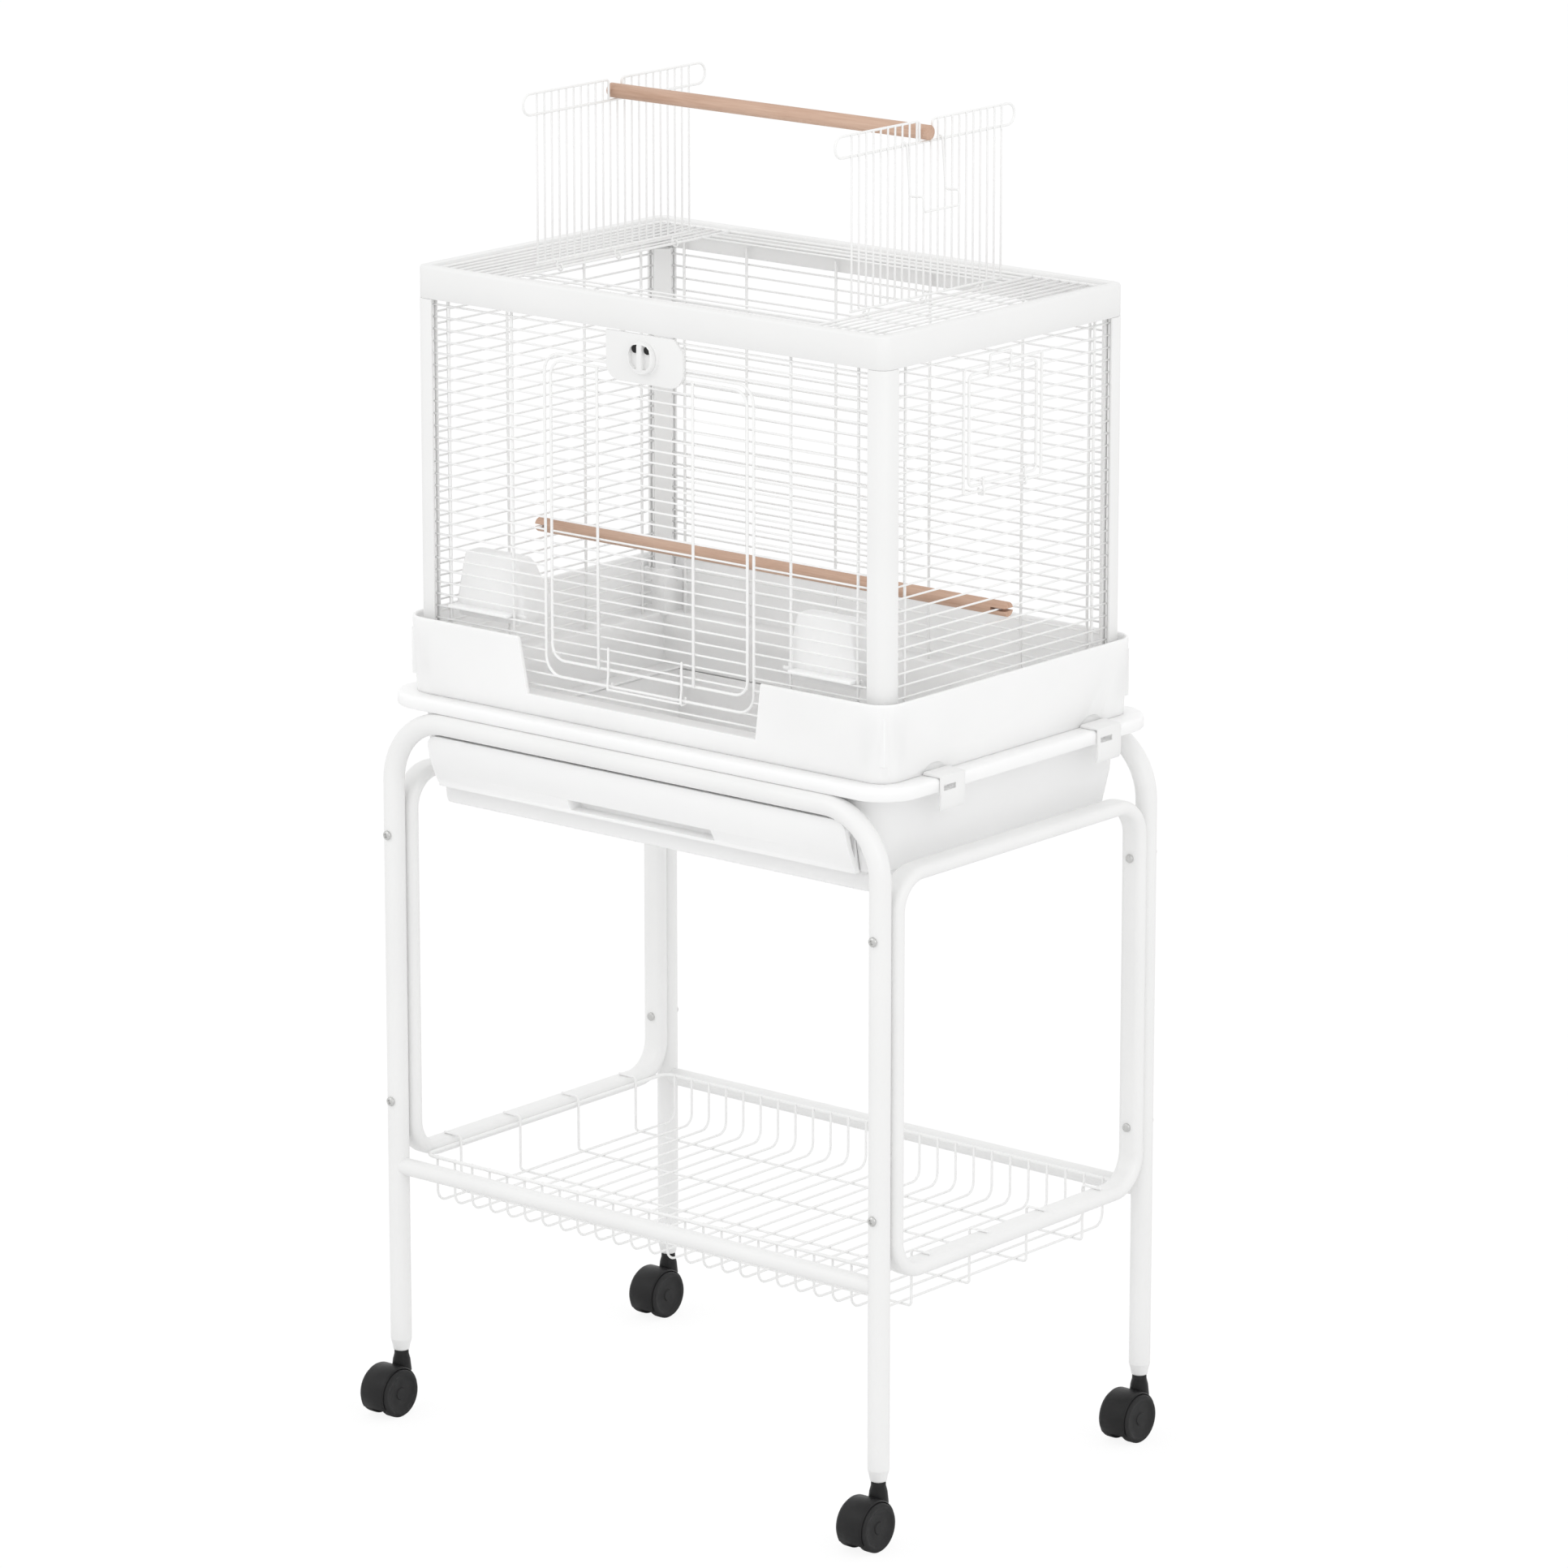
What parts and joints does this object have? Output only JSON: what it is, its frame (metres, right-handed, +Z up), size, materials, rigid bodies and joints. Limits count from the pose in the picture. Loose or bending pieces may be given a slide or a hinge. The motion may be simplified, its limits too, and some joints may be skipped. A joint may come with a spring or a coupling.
{
  "type": "bird cage with stand",
  "caption": "Rectangular wire bird cage with a front door, side door, opening play-top roof, pull-out litter drawer and a tubular stand on casters with a wire basket.",
  "frame": {"origin": "on the floor, midway between the four caster stems", "axes": "+Z up, +X to the right of someone who faces the front door, -Y towards that person"},
  "size_m": [0.6794, 0.4913, 1.3934],
  "materials": {
    "white_paint": "satin white powder coat",
    "white_wire": "satin white powder coat on wire",
    "white_plastic": "fine matt white moulding",
    "black_plastic": "black moulding",
    "steel": "plain zinc-plated steel",
    "wood": "plain turned wood"
  },
  "bodies": {
    "cage_on_stand": {"base": "white_plastic", "bolt_high_front_left": "steel", "bolt_high_front_right": "steel", "bolt_high_rear_left": "steel", "bolt_high_rear_right": "steel", "bolt_low_front_left": "steel", "bolt_low_front_right": "steel", "bolt_low_rear_left": "steel", "bolt_low_rear_right": "steel", "caster_stem_front_left": "steel", "caster_stem_front_right": "steel", "caster_stem_rear_left": "steel", "caster_stem_rear_right": "steel", "front_lower_rail": "white_paint", "front_panel": "white_wire", "front_portal": "white_paint", "left_panel": "white_wire", "left_side_loop": "white_paint", "lower_perch": "wood", "lower_tray": "white_plastic", "post_front_left": "white_plastic", "post_front_right": "white_plastic", "post_rear_left": "white_plastic", "post_rear_right": "white_plastic", "rear_lower_rail": "white_paint", "rear_panel": "white_wire", "rear_portal": "white_paint", "right_panel": "white_wire", "right_side_loop": "white_paint", "rim": "white_plastic", "roof": "white_wire"},
    "caster_front_left": {"caster_hood_front_left": "black_plastic"},
    "wheels_front_left": {"caster_wheels_front_left": "black_plastic"},
    "caster_front_right": {"caster_hood_front_right": "black_plastic"},
    "wheels_front_right": {"caster_wheels_front_right": "black_plastic"},
    "caster_rear_left": {"caster_hood_rear_left": "black_plastic"},
    "wheels_rear_left": {"caster_wheels_rear_left": "black_plastic"},
    "caster_rear_right": {"caster_hood_rear_right": "black_plastic"},
    "wheels_rear_right": {"caster_wheels_rear_right": "black_plastic"},
    "drawer": {"drawer": "white_plastic"},
    "front_door": {"front_door": "white_wire", "latch_plate": "white_plastic"},
    "latch_knob": {"latch_knob": "white_plastic"},
    "side_door": {"side_door": "white_wire"},
    "left_gate": {"left_gate": "white_wire"},
    "right_gate": {"right_gate": "white_wire"},
    "gate_clasp": {"gate_clasp": "white_wire"},
    "top_perch": {"top_perch": "wood"},
    "basket": {"basket": "white_wire"},
    "feeder_left": {"feeder_left": "white_plastic"},
    "clip_front_left": {"clip_front_left": "white_plastic"},
    "clip_rear_left": {"clip_rear_left": "white_plastic"},
    "feeder_right": {"feeder_right": "white_plastic"},
    "clip_front_right": {"clip_front_right": "white_plastic"},
    "clip_rear_right": {"clip_rear_right": "white_plastic"}
  },
  "joints": [
    {"name": "swivel_front_left", "type": "hinge", "parent": "cage_on_stand", "child": "caster_front_left", "pos_m": [-0.32125, -0.2145, 0.066], "axis": [0, 0, 1], "continuous": true},
    {"name": "roll_front_left", "type": "hinge", "parent": "caster_front_left", "child": "wheels_front_left", "pos_m": [-0.32125, -0.2345, 0.0255], "axis": [1, 0, 0], "continuous": true},
    {"name": "swivel_front_right", "type": "hinge", "parent": "cage_on_stand", "child": "caster_front_right", "pos_m": [0.32125, -0.2145, 0.066], "axis": [0, 0, 1], "continuous": true},
    {"name": "roll_front_right", "type": "hinge", "parent": "caster_front_right", "child": "wheels_front_right", "pos_m": [0.32125, -0.2345, 0.0255], "axis": [1, 0, 0], "continuous": true},
    {"name": "swivel_rear_left", "type": "hinge", "parent": "cage_on_stand", "child": "caster_rear_left", "pos_m": [-0.32125, 0.2145, 0.066], "axis": [0, 0, 1], "continuous": true},
    {"name": "roll_rear_left", "type": "hinge", "parent": "caster_rear_left", "child": "wheels_rear_left", "pos_m": [-0.32125, 0.1945, 0.0255], "axis": [1, 0, 0], "continuous": true},
    {"name": "swivel_rear_right", "type": "hinge", "parent": "cage_on_stand", "child": "caster_rear_right", "pos_m": [0.32125, 0.2145, 0.066], "axis": [0, 0, 1], "continuous": true},
    {"name": "roll_rear_right", "type": "hinge", "parent": "caster_rear_right", "child": "wheels_rear_right", "pos_m": [0.32125, 0.1945, 0.0255], "axis": [1, 0, 0], "continuous": true},
    {"name": "drawer_slide", "type": "slide", "parent": "cage_on_stand", "child": "drawer", "axis": [0, -1, 0], "range_m": [0, 0.74]},
    {"name": "front_door_hinge", "type": "hinge", "parent": "cage_on_stand", "child": "front_door", "pos_m": [0, -0.1855, 0.81487], "axis": [1, 0, 0], "range_deg": [0, 120]},
    {"name": "latch_turn", "type": "hinge", "parent": "front_door", "child": "latch_knob", "pos_m": [0, -0.1855, 1.15779], "axis": [0, 1, 0], "range_deg": [-90, 0]},
    {"name": "side_door_hinge", "type": "hinge", "parent": "cage_on_stand", "child": "side_door", "pos_m": [0.3005, 0, 1.03933], "axis": [0, 1, 0], "range_deg": [0, 120]},
    {"name": "left_gate_hinge", "type": "hinge", "parent": "cage_on_stand", "child": "left_gate", "pos_m": [-0.199, 0, 1.2105], "axis": [0, 1, 0], "range_deg": [0, 90]},
    {"name": "right_gate_hinge", "type": "hinge", "parent": "cage_on_stand", "child": "right_gate", "pos_m": [0.199, 0, 1.2105], "axis": [0, 1, 0], "range_deg": [-90, 0]},
    {"name": "gate_clasp_swing", "type": "hinge", "parent": "right_gate", "child": "gate_clasp", "pos_m": [0.202, 0, 1.3706], "axis": [0, 1, 0], "range_deg": [-155, 0]},
    {"name": "top_perch_lift", "type": "slide", "parent": "cage_on_stand", "child": "top_perch", "axis": [0, 0, 1], "range_m": [0, 0.1]},
    {"name": "basket_lift", "type": "slide", "parent": "cage_on_stand", "child": "basket", "axis": [0, 0, 1], "range_m": [0, 0.2]},
    {"name": "feeder_left_pull", "type": "slide", "parent": "cage_on_stand", "child": "feeder_left", "axis": [0, 1, 0], "range_m": [0, 0.05]},
    {"name": "clip_front_left_swing", "type": "hinge", "parent": "cage_on_stand", "child": "clip_front_left", "pos_m": [-0.3155, -0.122, 0.7773], "axis": [0, 1, 0], "range_deg": [0, 25]},
    {"name": "clip_rear_left_swing", "type": "hinge", "parent": "cage_on_stand", "child": "clip_rear_left", "pos_m": [-0.3155, 0.13, 0.7773], "axis": [0, 1, 0], "range_deg": [0, 25]},
    {"name": "feeder_right_pull", "type": "slide", "parent": "cage_on_stand", "child": "feeder_right", "axis": [0, 1, 0], "range_m": [0, 0.05]},
    {"name": "clip_front_right_swing", "type": "hinge", "parent": "cage_on_stand", "child": "clip_front_right", "pos_m": [0.3155, -0.122, 0.7773], "axis": [0, -1, 0], "range_deg": [0, 25]},
    {"name": "clip_rear_right_swing", "type": "hinge", "parent": "cage_on_stand", "child": "clip_rear_right", "pos_m": [0.3155, 0.13, 0.7773], "axis": [0, -1, 0], "range_deg": [0, 25]}
  ]
}
